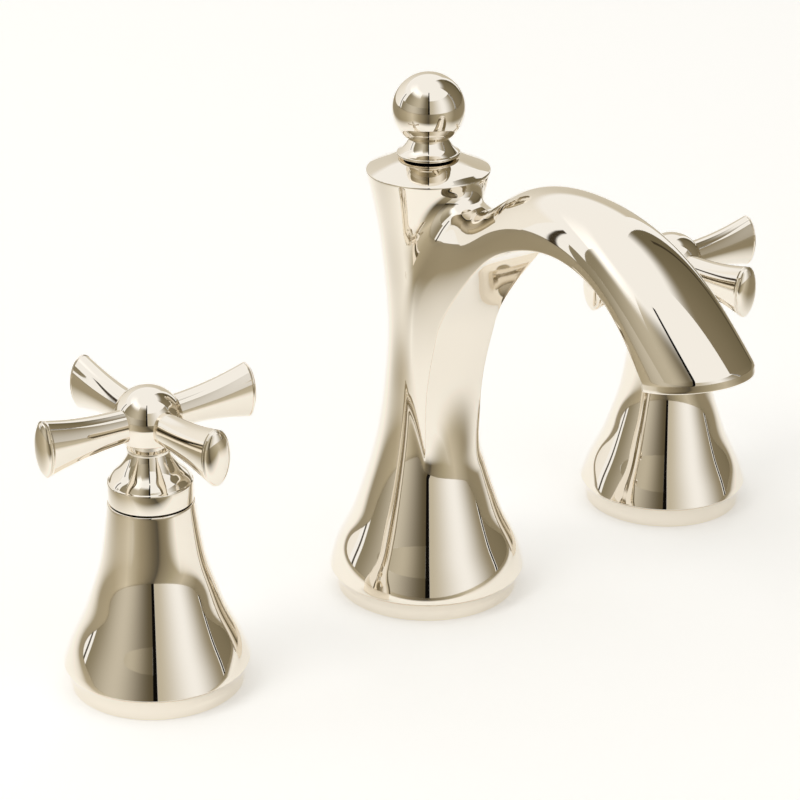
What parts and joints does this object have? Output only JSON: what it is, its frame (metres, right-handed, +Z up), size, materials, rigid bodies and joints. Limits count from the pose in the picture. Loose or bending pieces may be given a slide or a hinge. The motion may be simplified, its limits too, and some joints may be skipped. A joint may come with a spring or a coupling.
{
  "type": "widespread bathroom faucet",
  "caption": "Deck-mounted widespread bathroom faucet: arched spout on a flared column with a lift-rod knob, and separate cross-handle valves on flared bells.",
  "frame": {"origin": "on the spout column's axis, at the level of the deck's top face", "axes": "+X towards the cold handle on the user's right, -Y towards the user (the spout points along it), +Z up"},
  "size_m": [0.2754, 0.1668, 0.2903],
  "materials": {
    "polished_nickel": "warm polished nickel plate, mirror-like",
    "brass": "as machined",
    "steel": "zinc plated",
    "stainless": "plain",
    "copper": "drawn tube",
    "rubber": "black, matt",
    "ceramic": "lapped white ceramic",
    "dark_plastic": "moulded",
    "light_plastic": "moulded"
  },
  "bodies": {
    "faucet": {"left_escutcheon": "polished_nickel", "left_escutcheon_gasket": "rubber", "left_fixed_disc": "ceramic", "left_seat_seal": "rubber", "left_cartridge_body": "brass", "left_bonnet_nut": "brass", "left_valve_body": "brass", "left_top_locknut": "brass", "left_rubber_washer": "rubber", "left_metal_washer": "steel", "left_mounting_nut": "brass", "right_escutcheon": "polished_nickel", "right_escutcheon_gasket": "rubber", "right_fixed_disc": "ceramic", "right_seat_seal": "rubber", "right_cartridge_body": "brass", "right_bonnet_nut": "brass", "right_valve_body": "brass", "right_top_locknut": "brass", "right_rubber_washer": "rubber", "right_metal_washer": "steel", "right_mounting_nut": "brass", "spout_body": "polished_nickel", "spout_gasket": "rubber", "spout_shank": "brass", "waterway_tube": "copper", "inlet_spigot": "brass", "spigot_o_ring_low": "rubber", "spigot_o_ring_high": "rubber", "spout_rubber_washer": "rubber", "spout_metal_washer": "steel", "spout_mounting_nut": "brass", "aerator_housing": "light_plastic", "aerator_insert": "dark_plastic", "aerator_washer": "rubber", "rod_guide": "dark_plastic"},
    "left_handle": {"left_cross_handle": "polished_nickel", "left_handle_skirt": "polished_nickel", "left_handle_adapter": "brass", "left_set_screw": "stainless", "left_cartridge_stem": "brass", "left_stem_o_ring": "rubber", "left_moving_disc": "ceramic"},
    "right_handle": {"right_cross_handle": "polished_nickel", "right_handle_skirt": "polished_nickel", "right_handle_adapter": "brass", "right_set_screw": "stainless", "right_cartridge_stem": "brass", "right_stem_o_ring": "rubber", "right_moving_disc": "ceramic"},
    "lift": {"lift_rod": "stainless", "lift_knob": "polished_nickel"}
  },
  "joints": [
    {"name": "left_handle_turn", "type": "hinge", "parent": "faucet", "child": "left_handle", "pos_m": [-0.1016, 0, 0.0835], "axis": [0, 0, 1], "range_deg": [0, 90]},
    {"name": "right_handle_turn", "type": "hinge", "parent": "faucet", "child": "right_handle", "pos_m": [0.1016, 0, 0.0835], "axis": [0, 0, 1], "range_deg": [-90, 0]},
    {"name": "lift_rod_slide", "type": "slide", "parent": "faucet", "child": "lift", "axis": [0, 0, 1], "range_m": [0, 0.022]}
  ]
}
